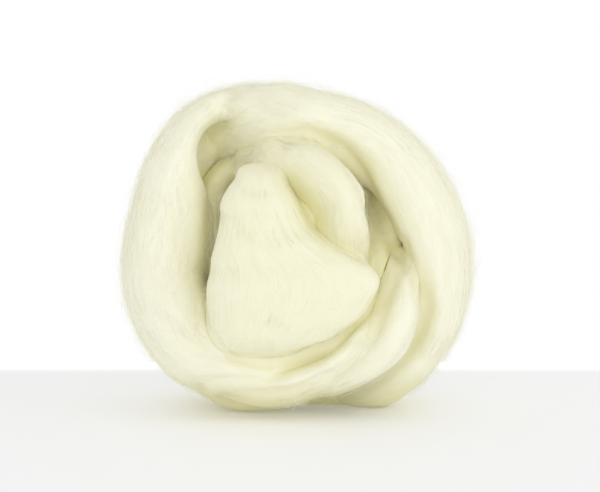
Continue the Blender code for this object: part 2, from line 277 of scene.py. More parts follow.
# Where it fills the crease more or less than that: the line, right and up of the middle, how far round
# it, and the reach there.
Crease = namedtuple("Crease", "line broad reach")
CREASES = (
    Crease(((-28, -4.5), (-29, -14), (-27, -25)), 4.0, 5.0),
    Crease(((-18, 24), (-21, 20), (-23, 16.5)), 2.6, 1.4),
    Crease(((-25.5, 12.5), (-27, 4.5), (-28, -3.5)), 3.6, 7.5),
    Crease(((-29, 29.5), (-24, 30), (-18.5, 30)), 3.5, 4.5),
    Crease(((-5, 27), (-2, 21.5), (0.5, 16)), 2.6, 2.0),
    Crease(((14, 32.5), (18.5, 24.5), (22, 15.5), (26, 8.5), (30, 1.5), (32, -2)), 2.4, 1.2),
    Crease(((30, 5.5), (32, 2.5), (32, -1)), 2.6, 4.0),
    Crease(((-9.5, -32.5), (0, -32), (6, -29.5), (13.5, -24), (21.5, -17)), 2.4, 0.6),
    Crease(((35, -6.5), (39, -17), (32.5, -31), (23.5, -40)), 2.4, 1.6),
    Crease(((-26, 39), (-30.5, 34), (-32, 29.5), (-31, 24), (-30, 18.5)), 2.2, 1.4),
    Crease(((-4.5, -45.5), (9.5, -45), (21, -46.5)), 5.0, 0.5),
)

# Soft folds in the face: the line each follows, right and up of the middle, how deep it is
# (negative for a ridge) and how broad, and the one turn it is in, if not all.
Fold = namedtuple("Fold", "line deep broad only", defaults=("",))
FOLDS = (
    Fold(((-15.5, 8), (-5, 3.5)), 1.5, 3.2),
    Fold(((-30.5, 28), (-30, 19), (-30, 9.5), (-29, 0.5)), -2.0, 3.6, "left_turn"),
    Fold(((-18.5, 22.5), (-11, 20)), 1.3, 2.6),
    Fold(((-10, -16), (-3.5, -22)), 0.5, 2.6),
    Fold(((-11.5, -0.5), (-7.5, -6.5), (-8.5, -12)), 0.4, 4.5),
    Fold(((-14.5, -15.5), (-9.5, -22)), 0.4, 2.6),
    Fold(((-2, 18), (4, 7.5), (14, -1), (23.5, -6.5)), -0.8, 3.6),
    Fold(((-46, -14.5), (-37, -21.5), (-28.5, -25.5)), 0.8, 3.2),
    Fold(((-31.5, -40), (-18.5, -39), (-8.5, -37.5), (0, -32), (5.5, -29)), 2.5, 2.4),
    Fold(((-19, -35), (-7.5, -34.5), (3, -31), (13.5, -25.5)), 1.7, 2.0),
    Fold(((1.5, -41), (10, -36), (17, -28.5), (22, -20)), 1.0, 2.0),
    Fold(((-4.5, -41.5), (7.5, -38), (19, -28.5), (28, -13.5)), -1.0, 3.0),
    Fold(((-24, -44), (-11.5, -43.5), (0, -41), (9.5, -36)), 1.8, 2.2),
    Fold(((14.5, 34.5), (24.5, 24.5)), 0.5, 3.5),
    Fold(((-46.5, 23), (-41.5, 32.5), (-34, 40.5)), 0.6, 2.8),
    Fold(((33.5, -4), (37.5, -11), (39, -17.5), (37, -25), (32, -32.5), (25, -40),
          (16, -44)), 2.2, 3.0),
    Fold(((-4.5, 36), (1, 38), (6.5, 36), (13, 32), (18, 24.5), (21, 17), (24, 11), (28.5, 4),
          (32, -2)), 2.6, 2.8),
    Fold(((-28.5, 16), (-27, 9.5), (-26, 2), (-27, -7)), 0.8, 2.4, "left_turn"),
    Fold(((-32, 28.5), (-27, 29), (-23.5, 30)), 0.3, 2.4),
    Fold(((-22, 44), (-26, 40), (-29.5, 37.5), (-31.5, 32.5), (-31.5, 25.5)), 0.8, 2.4),
    Fold(((-20, -30.5), (-12, -32), (-4.5, -31.5), (6, -28.5), (13, -23), (20, -17.5),
          (23.5, -14.5)), 2.4, 2.0, "left_turn"),
    Fold(((31.5, 3.5), (29.5, -3), (27, -10), (23, -22.5), (18.5, -30.5), (13, -37.5)), 1.8, 2.6),
    Fold(((-27, 38), (-30.5, 29)), -1.0, 5, "shoulder_turn"),
)

# Frayed places in the face, where fibres stand every way: the line of each, right and up of the
# middle, how broad it is, how many fibres it has, how long they are and how far they stand off.
Fray = namedtuple("Fray", "line broad count length rise")
FRAYS = (
    Fray(((-24.5, 31.5), (-19.5, 30), (-15.5, 30.5), (-12, 32)), 2.2, 260, 4.0, 1.0),
    Fray(((-31, 28), (-25.5, 28.5), (-20, 29)), 1.6, 120, 3.5, 0.8),
    Fray(((-12, 48.5), (-5.5, 46.5), (0.5, 44)), 5.0, 200, 6.0, 0.8),
    Fray(((-19.5, 51.5), (-20.5, 48), (-22.5, 44)), 3.0, 120, 7.0, 0.4),
    Fray(((-6, -44.5), (-2.5, -46.5), (0.5, -48.5)), 2.4, 160, 4.0, 1.2),
    Fray(((6.5, -27), (11, -24), (14, -20.5)), 1.4, 110, 3.0, 0.7),
    Fray(((-1, 32.5), (7.5, 35), (15.5, 30)), 2.0, 160, 4.5, 0.8),
    Fray(((17, 24), (22, 14), (28.5, 3)), 2.0, 160, 4.5, 0.8),
    Fray(((-29, -2), (-29, -13.5), (-27, -22.5)), 1.6, 120, 4.0, 0.8),
    Fray(((-11.5, 27.5), (-6, 26), (-3, 21.5)), 1.4, 90, 3.0, 0.6),
    Fray(((-25, 15), (-26.5, 8), (-27.5, 0.5)), 2.6, 180, 4.5, 0.9),
)


# ---------------------------------------------------------------- the strand's shape


def smooth_between(rows, t):
    """The rows of numbers read at each t, a row's number with a fraction, along a Catmull-Rom curve."""
    last = len(rows) - 1
    padded = np.vstack([2 * rows[0] - rows[1], rows, 2 * rows[last] - rows[last - 1]])
    i = np.minimum(t.astype(int), last - 1)
    f = (t - i)[:, None]
    before, a, b, after = padded[i], padded[i + 1], padded[i + 2], padded[i + 3]
    bend = 2 * before - 5 * a + 4 * b - after
    twist = 3 * a - before - 3 * b + after
    return 0.5 * (2 * a + (b - before) * f + bend * f**2 + twist * f**3)


def unit(vectors):
    return vectors / np.maximum(np.linalg.norm(vectors, axis=-1, keepdims=True), 1e-9)


def noise(x, y, cells, seed):
    """Smooth noise of unit strength at x, y, in cells. It repeats round y after that many cells."""
    table = np.random.default_rng(seed).standard_normal((256, cells))
    i, j = np.floor(x).astype(int), np.floor(y).astype(int)
    u, v = x - i, y - j
    u, v = u * u * (3 - 2 * u), v * v * (3 - 2 * v)
    i0, i1, j0, j1 = i % 256, (i + 1) % 256, j % cells, (j + 1) % cells
    low = table[i0, j0] * (1 - u) + table[i1, j0] * u
    high = table[i0, j1] * (1 - u) + table[i1, j1] * u
    return low * (1 - v) + high * v


def relief(travelled, share_round, girth, seed):
    """How far the ripples raise a turn's surface, in millimetres."""
    raised = np.zeros_like(travelled)
    stray = noise(travelled / WANDER_LENGTH, share_round * WANDERS_ROUND, WANDERS_ROUND, seed) * WANDER
    for k, ripple in enumerate(RIPPLES):
        cells = max(3, round(girth / ripple.breadth))
        y = (share_round + stray / girth) % 1.0 * cells
        wave = noise(travelled / ripple.length, y, cells, seed + 100 * (k + 1))
        raised += ripple.height * (0.8 - np.abs(wave)) if ripple.grooved else ripple.height * wave
    return raised


def near_line(flat, line):
    """How far off the line points right and up of the middle are, and how far along it, as a share."""
    line = np.array(line, float)
    runs = np.diff(line, axis=0)
    lengths = np.linalg.norm(runs, axis=1)
    nearest, share = np.full(len(flat), 1e9), np.zeros(len(flat))
    for k, run in enumerate(runs):
        along = np.clip(((flat - line[k]) @ run) / lengths[k] ** 2, 0, 1)
        off = np.linalg.norm(flat - line[k] - along[:, None] * run, axis=1)
        closer = off < nearest
        nearest[closer] = off[closer]
        share[closer] = ((lengths[:k].sum() + along * lengths[k]) / lengths.sum())[closer]
    return nearest, share


def folds(points, name):
    """How deep the folds cut into the face at these points of a turn, in millimetres."""
    deep = np.zeros(points.shape[:-1])
    facing = points[..., 1] < -FACE_FROM
    flat = points[facing][:, [0, 2]]
    for fold in FOLDS:
        if fold.only in ("", name):
            off, share = near_line(flat, fold.line)
            fade = np.sin(np.pi * (FOLD_ENDS + (1 - 2 * FOLD_ENDS) * share)) ** 0.7
            deep[facing] += fold.deep * fade * np.exp(-((off / fold.broad) ** 2))
    return deep


def skin_of(name, turn):
    """The turn's surface as a grid of points, steps along by steps round, with what goes with it.

    The first column is under the turn and the middle one on its outer side, where they stand closest.
    """
    rows = np.array([(right, -front, up, *half) for right, up, front, *half in turn.places], float)
    fine = smooth_between(rows, np.linspace(0, len(rows) - 1, FINE_STEPS * len(rows)))
    travelled = np.concatenate([[0], np.cumsum(np.linalg.norm(np.diff(fine[:, :3], axis=0), axis=1))])
    along = round(travelled[-1] / turn.step_along)
    even = travelled[-1] * (0.5 - 0.5 * np.cos(np.linspace(0, np.pi, along + 1))) * ENDS_CLOSER
    even += np.linspace(0, travelled[-1], along + 1) * (1 - ENDS_CLOSER)
    at = np.array([np.interp(even, travelled, column) for column in fine.T]).T
    rounds_off = PAD_END_LENGTH if turn.level else END_LENGTH
    from_end = np.clip(np.minimum(even, even[-1] - even) / rounds_off, 0, 1)
    at[:, 3:] *= np.sqrt(1 - (1 - from_end) ** 2)[:, None]

    middle, wide, thick = at[:, None, :3], at[:, None, 3:4], at[:, None, 4:5]
    forward = unit(np.gradient(at[:, :3], axis=0))[:, None]
    out = unit(middle - forward * (middle * forward).sum(-1, keepdims=True))
    if turn.level:
        forward, out = np.array([[[0.0, 0.0, -1.0]]]), np.array([[[0.0, -1.0, 0.0]]])
    sideways = np.cross(out, forward)

    girth = 2 * math.pi * float(np.median(at[:, 3] + at[:, 4]) / 2)
    round_ = 4 * round(girth / turn.step_round / 4)
    share = np.linspace(0, 1, round_ + 1)
    angle = 2 * np.pi * share + OUTSIDE_CLOSER * np.sin(2 * np.pi * share)
    x, y = np.sin(angle), -np.cos(angle)
    full = (np.abs(x) ** SECTION_POWER + np.abs(y) ** SECTION_POWER) ** (-1 / SECTION_POWER)
    x, y = (x * full)[None, :, None], (y * full)[None, :, None]
    points = middle + sideways * wide * x + out * thick * y

    normals = unit(np.cross(np.gradient(points, axis=0), np.gradient(points, axis=1)))
    normals *= np.sign((normals * (points - middle)).sum(-1).sum())
    s = np.broadcast_to(even[:, None], points.shape[:2])
    a = np.broadcast_to(angle / (2 * np.pi), points.shape[:2])
    fade = np.clip(np.minimum(s, even[-1] - s) / RIPPLE_FADE, 0, 1)
    slim = np.clip((at[:, 3:4] + at[:, 4:5]) / np.median(at[:, 3] + at[:, 4]), 0.2, 1)
    raised = relief(s, a, girth, turn.seed) * fade * slim * turn.rippled - folds(points, name) - SINK
    points = points + normals * raised[..., None] * np.clip(fade * 3, 0, 1)[..., None]
    return {
        "points": points, "normals": normals, "travelled": even, "angle": angle, "girth": girth,
        "laid": turn.laid, "inner": name in INNER_TURNS,
    }


def outward_normals(points):
    """Unit normals of a turn's grid of points, away from its middle."""
    along = np.gradient(points, axis=0)
    round_ = np.roll(points[:, :-1], -1, axis=1) - np.roll(points[:, :-1], 1, axis=1)
    normals = unit(np.cross(along, np.concatenate([round_, round_[:, :1]], axis=1)))
    off = points - points[:, :-1].mean(axis=1, keepdims=True)
    return normals * np.sign((normals * off).sum())


def quads(points):
    """A grid's vertices and faces, wound to face outwards, for finding the nearest place on it."""
    rows, columns = points.shape[0], points.shape[1] - 1
    at = np.arange(rows * columns).reshape(rows, columns)
    beside = np.roll(at, -1, axis=1)
    faces = np.stack([at[:-1], at[1:], beside[1:], beside[:-1]], axis=-1).reshape(-1, 4)
    corner = points[:, :-1].reshape(-1, 3)
    a, b, c, d = (corner[faces[:, k]] for k in range(4))
    middle = points[:, :-1].mean(axis=1).repeat(columns, axis=0).reshape(rows, columns, 3)[:-1]
    side = (np.cross(c - a, d - b) * (a - middle.reshape(-1, 3))).sum()
    return corner, faces if side > 0 else faces[:, ::-1]


def tree_of(skins):
    """The skins of several turns as one tree, for finding the nearest place or what a ray meets."""
    corners, faces, count = [], [], 0
    for skin in skins:
        corner, face = quads(skin["points"])
        corners.append(corner)
        faces.append(face + count)
        count += len(corner)
    return BVHTree.FromPolygons(np.concatenate(corners).tolist(), np.concatenate(faces).tolist())


def crease_reach(points):
    """How near another turn is to each of these points where stray wool fills the crease between them."""
    reach = np.full(len(points), CREASE_REACH)
    for crease in CREASES:
        off, _ = near_line(points[:, [0, 2]], crease.line)
        reach += (crease.reach - CREASE_REACH) * np.exp(-((off / crease.broad) ** 2)) * (points[:, 1] < 0)
    return np.maximum(reach, LEAST_REACH)


def near_others(skins, name):
    """For each point of a turn, how far outside the other turns it is, which way is away from them and
    how far a crease is filled there."""
    tree = tree_of(skin for other, skin in skins.items() if other != name)
    flat = skins[name]["points"].reshape(-1, 3)
    reach = crease_reach(flat)
    gap, away = reach.copy(), np.zeros((len(flat), 3))
    for k, point in enumerate(flat.tolist()):
        at, normal, _, distance = tree.find_nearest(point, reach[k])
        if at is not None:
            inside = (Vector(point) - at).dot(normal) < 0
            gap[k] = -distance if inside else distance
            away[k] = normal
    shape = skins[name]["points"].shape
    return gap.reshape(shape[:2]), away.reshape(shape), reach.reshape(shape[:2])


@functools.cache
def ball():
    """Every turn's skin, with the creases between the turns filled out softly."""
    skins = {name: skin_of(name, turn) for name, turn in EVERY_TURN.items()}
    filled = {}
    for name, skin in skins.items():
        gap, away, reach = near_others(skins, name)
        close = np.clip(1 - np.maximum(gap, 0) / reach, 0, 1)[..., None]
        # Wool at the bottom of a crease rises halfway between the ways off both turns.
        lean = skin["normals"] * (1 - close / 2) + away * close / 2
        steep = np.maximum(np.linalg.norm(lean, axis=-1, keepdims=True), 0.6)
        filled[name] = skin["points"] + lean / steep**2 * close**2 * reach[..., None] / 4
    for name, skin in skins.items():
        points = (filled[name] + MIDDLE) * MM
        points[..., 2] = press_flat(points[..., 2])
        skin["points"], skin["normals"] = points, outward_normals(points)
    hollows(skins)
    return skins


def hollows(skins):
    """How shut in each point of each turn is by the wool and the table, as a share of the ways out.

    The finishes paint shade by it, deepest where the wool is most shut in.
    """
    tree = tree_of(skins.values())
    turned = np.arange(HOLLOW_RAYS) * GOLDEN_ANGLE
    rise = np.sqrt(1 - (np.arange(HOLLOW_RAYS) + 0.5) / HOLLOW_RAYS)
    flat = np.sqrt(1 - rise**2)
    for skin in skins.values():
        rows, columns = skin["points"].shape[:2]
        some_rows, some_columns = np.arange(0, rows, 2), np.arange(0, columns - 1, 2)
        some = np.ix_(some_rows, some_columns)
        points, normals = (skin[name][some].reshape(-1, 3) for name in ("points", "normals"))
        side = unit(np.cross(normals, (0.36, 0.48, 0.8)))
        other = np.cross(normals, side)
        shut = np.zeros(len(points))
        for turn, up, out in zip(turned, rise, flat):
            ways = normals * up + (side * math.cos(turn) + other * math.sin(turn)) * out
            starts = points + normals * HOLLOW_START
            for k, (start, way) in enumerate(zip(starts.tolist(), ways.tolist())):
                at_table = start[2] + way[2] * HOLLOW_DEPTH < 0
                if at_table or tree.ray_cast(start, way, HOLLOW_DEPTH)[0] is not None:
                    shut[k] += 1
        shut = shut.reshape(len(some_rows), len(some_columns)) / HOLLOW_RAYS
        every = np.arange(columns - 1)
        shut = np.array([np.interp(every, some_columns, row, period=columns - 1) for row in shut])
        shut = np.array([np.interp(np.arange(rows), some_rows, column) for column in shut.T]).T
        shut += INNER_PAINTED_SHADE if skin["inner"] else 0
        skin["hollow"] = np.concatenate([shut, shut[:, :1]], axis=1)


def press_flat(height):
    """Wool that would reach below the table is pressed into the flat spot."""
    low, soft = FLAT_SPOT * MM, PRESSED_SOFTLY * MM
    over = (height - low) / soft
    return low + soft * np.where(over > 8, over, np.log1p(np.exp(np.minimum(over, 8))))


def mesh_of(body, name):
    """A mesh of what this body holds. The body is let go."""
    mesh = bpy.data.meshes.new(name)
    body.to_mesh(mesh)
    body.free()
    return mesh


def rolled_grid(along, round_):
    """A closed tube with pointed ends, made of a grid whose long edges are joined.

    x is the share along it, and y and z lie on its round section. Its map is the grid's own.
    """
    body = bmesh.new()
    bmesh.ops.create_grid(body, x_segments=along, y_segments=round_, size=1.0, calc_uvs=True)
    sheet = body.loops.layers.uv.verify()
    for vert in body.verts:
        for loop in vert.link_loops:
            loop[sheet].uv = (vert.co.x / 2 + 0.5, vert.co.y / 2 + 0.5)
    for vert in body.verts:
        share, turned = vert.co.x / 2 + 0.5, math.pi * (vert.co.y + 1)
        across = 0.0 if share < 1e-6 or share > 1 - 1e-6 else 1.0
        vert.co = (share, across * math.sin(turned), -across * math.cos(turned))
    bmesh.ops.remove_doubles(body, verts=body.verts, dist=1e-6)
    bmesh.ops.dissolve_degenerate(body, edges=body.edges, dist=1e-7)
    bmesh.ops.recalc_face_normals(body, faces=body.faces)
    return body


def numbers(rows, name, width, kind=float):
    """What a mesh holds under this name, as rows of this many numbers."""
    values = np.empty(len(rows) * width, kind)
    rows.foreach_get(name, values)
    return values.reshape(-1, width)


def set_hollow(mesh, values):
    """Says how shut in each vertex is, for the finishes to paint shade by."""
    mesh.attributes.new("hollow", "FLOAT", "POINT").data.foreach_set("value", values.ravel())


def grid_places(mesh, along, round_):
    """For each vertex of a rolled grid, its row along and its column round."""
    co = numbers(mesh.vertices, "co", 3)
    row = np.rint(co[:, 0] * along).astype(int)
    column = np.rint(np.arctan2(co[:, 1], -co[:, 2]) / (2 * np.pi) * round_).astype(int) % round_
    return row, column


def turn_mesh(skin, strip, strips):
    """The mesh of one turn. "fibres" maps it in metres along and round, and "OFBake" to its own strip."""
    along, round_ = len(skin["points"]) - 1, skin["points"].shape[1] - 1
    mesh = mesh_of(rolled_grid(along, round_), "turn")
    row, column = grid_places(mesh, along, round_)
    mesh.vertices.foreach_set("co", skin["points"][row, column].ravel())
    set_hollow(mesh, skin["hollow"][row, column])

    sheet = mesh.uv_layers[0]
    uv = numbers(sheet.data, "uv", 2)
    sheet.name = "OFBake"
    own = np.stack([0.01 + 0.98 * uv[:, 0], (strip + 0.03 + 0.94 * uv[:, 1]) / strips], axis=1)
    sheet.data.foreach_set("uv", own.ravel())
    flow = mesh.uv_layers.new(name="fibres")
    s = np.interp(uv[:, 0] * along, np.arange(along + 1), skin["travelled"]) * MM
    a = np.interp(uv[:, 1] * round_, np.arange(round_ + 1), skin["angle"]) / (2 * np.pi)
    flow.data.foreach_set("uv", np.stack([s, a * skin["girth"] * MM], axis=1).ravel())
    mesh.update()
    return mesh


def placed(name, data):
    """An object in the scene, at the origin."""
    obj = bpy.data.objects.new(name, data)
    bpy.context.scene.collection.objects.link(obj)
    return obj


def joined(name, meshes):
    """One object that holds these meshes."""
    body = bmesh.new()
    for mesh in meshes:
        body.from_mesh(mesh)
        bpy.data.meshes.remove(mesh)
    bmesh.ops.recalc_face_normals(body, faces=body.faces)
    whole = mesh_of(body, name)
    whole.polygons.foreach_set("use_smooth", [True] * len(whole.polygons))
    return placed(name, whole)


def finish_piece(obj, material):
    """Gives a piece its one finish, and hangs it from the ball's root so that it moves with the ball."""
    obj.data.materials.clear()
    obj.data.materials.append(material)
    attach(obj, "root")


def build_turns(name, turns):
    """Builds the skins of these turns as one piece, which takes the place of the plain solid."""
    skins = [ball()[turn] for turn in turns]
    piece = joined(name, [turn_mesh(skin, k, len(skins)) for k, skin in enumerate(skins)])
    finish_piece(piece, wool_material(bpy.context.scene.roving_wool))
    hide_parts(CAD_NODE)


# ---------------------------------------------------------------- the fibres


def sampled(grid, row, column):
    """The grid read between its points, at a row and a column with fractions. Columns go round."""
    i = np.clip(row.astype(int), 0, grid.shape[0] - 2)
    j = np.floor(column).astype(int)
    f, g = (row - i)[..., None], (column - j)[..., None]
    wrap = grid.shape[1] - 1
    j, k = j % wrap, (j + 1) % wrap
    low = grid[i, j] * (1 - f) + grid[i + 1, j] * f
    high = grid[i, k] * (1 - f) + grid[i + 1, k] * f
    return low * (1 - g) + high * g


def on_turn(skin, travelled, column):
    """At places on a turn: the points, the direction out of it, and how shut in they are."""
    row = np.interp(travelled, skin["travelled"], np.arange(len(skin["travelled"])))
    hollow = sampled(skin["hollow"][..., None], row, column)[..., 0]
    return sampled(skin["points"], row, column), sampled(skin["normals"], row, column), hollow


def fibre_paths(skin, count, rng, look):
    """Fibres laid along a turn: the points of each, the direction in which it stands off the turn, and
    how shut in it is."""
    t = np.linspace(0, 1, len(LONG_TAPER))[None]
    length = look.length / MM * rng.uniform(*LAID_LENGTHS, (count, 1))
    whole = skin["travelled"][-1]
    start = rng.uniform(END_MARGIN, whole - 2 * END_MARGIN, (count, 1))
    s = start + np.minimum(length, whole - END_MARGIN - start) * t
    columns = skin["points"].shape[1] - 1
    column = (0.5 + rng.uniform(-LAID_ROUND, LAID_ROUND, (count, 1))) * columns
    drift = rng.normal(0, STRAY, (count, 1)) * (t - 0.5)
    drift = drift + rng.normal(0, STRAY, (count, 1)) * (t - 0.5) ** 2
    points, out, hollow = on_turn(skin, s, column + drift * length / skin["girth"] * columns)
    bow = np.sin(np.pi * t) * rng.uniform(*BOWS, (count, 1)) - ENDS_SINK
    return points + out * (bow * look.lift)[..., None], out, hollow


def loose_paths(skin, count, rng, look):
    """Fibres whose free end stands off the turn and curls."""
    t = np.linspace(0, 1, len(LONG_TAPER))[None]
    points, out, hollow = fibre_paths(skin, count, rng, look)
    rise = rng.gamma(LOOSE_RISES, look.loose_lift / LOOSE_RISES, (count, 1))
    free = np.where(rng.random((count, 1)) < 0.5, t, 1 - t)
    points = points + out * (rise * free**2)[..., None]
    way = unit(rng.normal(size=(count, 1, 3)))
    sway = rise * SWAY * np.sin(np.pi * free * rng.uniform(*CURLS, (count, 1))) * free
    return points + way * sway[..., None], out, hollow


def fuzz_paths(skin, count, rng, look):
    """Short stray fibres that lie every way over a turn and bow a little off it."""
    t = np.linspace(0, 1, len(SHORT_TAPER))[None]
    length = look.fuzz_length / MM * rng.uniform(*FUZZ_LENGTHS, (count, 1))
    way = rng.normal(0, FUZZ_TURNED, (count, 1))
    s = rng.uniform(0, 1, (count, 1)) * skin["travelled"][-1] + length * (t - 0.5) * np.cos(way)
    columns = skin["points"].shape[1] - 1
    curl = rng.normal(0, FUZZ_CURL, (count, 1)) * np.sin(np.pi * t)
    column = (0.5 + rng.uniform(-FUZZ_ROUND, FUZZ_ROUND, (count, 1))) * columns
    column = column + length * ((t - 0.5) * np.sin(way) + curl) / skin["girth"] * columns
    points, out, hollow = on_turn(skin, s, column)
    rise = rng.gamma(FUZZ_RISES, look.fuzz_lift / FUZZ_RISES, (count, 1))
    top = rng.uniform(*FUZZ_TOPS, (count, 1))
    lift = rise * np.clip(1 - ((t - top) / FUZZ_ARCH) ** 2, 0, 1) - ROOT
    return points + out * lift[..., None], out, hollow


def fray_paths(fray, tree, rng):
    """Fibres round a line in the face, as fuzz_paths gives them. They start on what shows there."""
    t = np.linspace(0, 1, len(LONG_TAPER))[None, :, None]
    line = np.array(fray.line, float)
    spot = smooth_between(line, rng.uniform(0, len(line) - 1, fray.count))
    spot = spot + rng.normal(0, fray.broad / 2, spot.shape)
    points, out = np.zeros((2, fray.count, 3))
    for k, (right, up) in enumerate(spot):
        start = Vector(((right + MIDDLE[0]) * MM, CAD_BOX[0][1] - 0.05, (up + MIDDLE[2]) * MM))
        at, normal, _, _ = tree.ray_cast(start, Vector((0, 1, 0)))
        if at is not None:
            points[k], out[k] = at, normal
    met = np.abs(out).sum(axis=1) > 0
    points, out = points[met][:, None], out[met][:, None]
    count = len(points)
    way = unit(rng.normal(size=(count, 1, 3)))
    way = unit(way - out * (way * out).sum(-1, keepdims=True))
    curl = unit(np.cross(way, out)) * rng.normal(0, FRAY_CURL, (count, 1, 1))
    length = fray.length * MM * rng.uniform(*FUZZ_LENGTHS, (count, 1, 1))
    rise = fray.rise * MM * rng.gamma(LOOSE_RISES, 1 / LOOSE_RISES, (count, 1, 1))
    paths = points + (way * (t - 0.4) + curl * np.sin(np.pi * t)) * length + out * (rise * t - 2 * ROOT)
    return paths, np.broadcast_to(out, paths.shape), np.zeros(paths.shape[:2])


def shows(points, outside):
    """Whether the middle of each fibre is on the ball's outside and not under another turn."""
    kept = np.zeros(len(points), bool)
    for k, path in enumerate(points):
        above = 0
        for point in path[1:-1]:
            at, normal, _, _ = outside.find_nearest(Vector(point))
            above += (Vector(point) - at).dot(normal) > -DEEPEST
        kept[k] = above >= len(path) - 3
    return kept


def spindle(stations):
    """One fibre of triangles: each vertex's row and column, and each corner's vertex and map."""
    body = rolled_grid(stations - 1, 3)
    bmesh.ops.triangulate(body, faces=body.faces)
    mesh = mesh_of(body, "spindle")
    row, column = grid_places(mesh, stations - 1, 3)
    corners, uv = numbers(mesh.loops, "vertex_index", 1, int), numbers(mesh.uv_layers[0].data, "uv", 2)
    bpy.data.meshes.remove(mesh)
    return row, column, corners.ravel(), uv


def fibre_piece(name, paths, outs, hollow, thickness, rng):
    """One mesh of many fibres, each a thin three-sided spindle along its path."""
    taper = {len(shares): shares for shares in (LONG_TAPER, SHORT_TAPER)}[paths.shape[1]]
    row, column, corners, uv = spindle(len(taper))
    count = len(paths)
    along = unit(np.gradient(paths, axis=1))
    side = unit(np.cross(along, outs))
    up = np.cross(side, along)
    turned = (2 * np.pi * column / 3 + np.pi)[None, :, None]
    thick = thickness / 2 * rng.uniform(*THICKNESSES, (count, 1)) * taper[None]
    section = up[:, row] * np.cos(turned) + side[:, row] * np.sin(turned)
    verts = paths[:, row] + thick[:, row, None] * section
    verts[..., 2] = np.maximum(verts[..., 2], LOWEST)
    corners = (corners[None] + (np.arange(count) * len(row))[:, None]).ravel()

    mesh = bpy.data.meshes.new(name)
    mesh.vertices.add(count * len(row))
    mesh.vertices.foreach_set("co", verts.ravel())
    mesh.loops.add(len(corners))
    mesh.loops.foreach_set("vertex_index", corners)
    mesh.polygons.add(len(corners) // 3)
    mesh.polygons.foreach_set("loop_start", np.arange(0, len(corners), 3))
    mesh.update(calc_edges=True)
    across = math.ceil(math.sqrt(count))
    cell = np.stack([np.arange(count) % across, np.arange(count) // across], axis=1)
    own = (cell[:, None] + 0.1 + 0.8 * uv[None]) / across
    mesh.uv_layers.new(name="OFBake").data.foreach_set("uv", own.ravel())
    set_hollow(mesh, hollow[:, row])
    mesh.validate()
    body = bmesh.new()
    body.from_mesh(mesh)
    bmesh.ops.recalc_face_normals(body, faces=body.faces)
    body.to_mesh(mesh)
    body.free()
    finish_piece(placed(name, mesh), fibre_material(bpy.context.scene.roving_wool))


def build_fibres(name, turns, count, seed, make, thickness):
    """Lays fibres over turns, shared out by their size."""
    look = bpy.context.scene.roving_fibres
    rng = np.random.default_rng(seed)
    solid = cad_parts[CAD_NODE].data
    outside = BVHTree.FromPolygons([v.co for v in solid.vertices], [f.vertices for f in solid.polygons])
    skins = [ball()[turn] for turn in turns]
    sizes = np.array([skin["girth"] * skin["travelled"][-1] * skin["laid"] for skin in skins])
    found = []
    for skin, share in zip(skins, sizes / sizes.sum()):
        wanted = round(count * share)
        tried, out, hollow = make(skin, round(wanted * TRIED), rng, look)
        kept = shows(tried, outside) & (hollow.max(axis=1) < MOST_SHUT_IN)
        found.append([of_each[kept][: round(wanted * KEPT)] for of_each in (tried, out, hollow)])
    paths, outs, hollow = (np.concatenate(of_each)[:count] for of_each in zip(*found))
    fibre_piece(name, paths, outs, hollow, thickness, rng)


def build_frays(name, seed):
    """Frays the face where the strand is broken or rubbed."""
    rng = np.random.default_rng(seed)
    tree = tree_of(ball().values())
    found = [fray_paths(fray, tree, rng) for fray in FRAYS]
    paths, outs, hollow = (np.concatenate(of_each) for of_each in zip(*found))
    fibre_piece(name, paths, outs, hollow, bpy.context.scene.roving_fibres.fuzz_thickness, rng)


# ---------------------------------------------------------------- finishes


def link(tree, start, end):
    tree.links.new(start, end)


def set_inputs(made, values):
    for key, value in values.items():
        made.inputs[key].default_value = value


def node(tree, kind, inputs=None, **settings):
    """A new node with these settings, and these values on its inputs."""
    made = tree.nodes.new(kind)
    for key, value in settings.items():
        setattr(made, key, value)
    set_inputs(made, inputs or {})
    return made


def ramp_between(tree, value, low, low_colour, high, high_colour):
    """A colour that goes from one to the other as the value does."""
    ramp = node(tree, "ShaderNodeValToRGB")
    for end, at, colour in zip(ramp.color_ramp.elements, (low, high), (low_colour, high_colour)):
        end.position, end.color = at, (*colour, 1)
    link(tree, value, ramp.inputs["Fac"])
    return ramp.outputs["Color"]


def wool_shader(material, look):
    """What every finish of the wool shares: its shine and the sheen of its fibres."""
    material.use_nodes = True
    shader = material.node_tree.nodes["Principled BSDF"]
    set_inputs(shader, {
        "Roughness": look.roughness, "IOR": 1.35, "Specular IOR Level": 0.25,
        "Sheen Weight": look.sheen, "Sheen Roughness": 0.5,
    })
    return shader


def streaks(tree, along, around, detail):
    """A noise drawn out along the strand, read from the turn's own map."""
    place = node(tree, "ShaderNodeUVMap", uv_map="fibres")
    drawn = node(tree, "ShaderNodeMapping", {"Scale": (1 / along, 1 / around, 1)})
    shape = {"Scale": 1.0, "Detail": detail, "Roughness": 0.6}
    grain = node(tree, "ShaderNodeTexNoise", shape, noise_dimensions="2D")
    link(tree, place.outputs["UV"], drawn.inputs["Vector"])
    link(tree, drawn.outputs["Vector"], grain.inputs["Vector"])
    return grain.outputs["Fac"]


def with_painted_shade(tree, look, colour):
    """The colour where the wool is open, mixed towards the painted shade colour where it is shut in."""
    place = node(tree, "ShaderNodeAttribute", attribute_name="hollow")
    either = node(tree, "ShaderNodeMix", {"B": (*look.hollow_colour, 1)}, data_type="RGBA")
    link(tree, place.outputs["Fac"], either.inputs["Factor"])
    link(tree, colour, either.inputs["A"])
    return either.outputs["Result"]


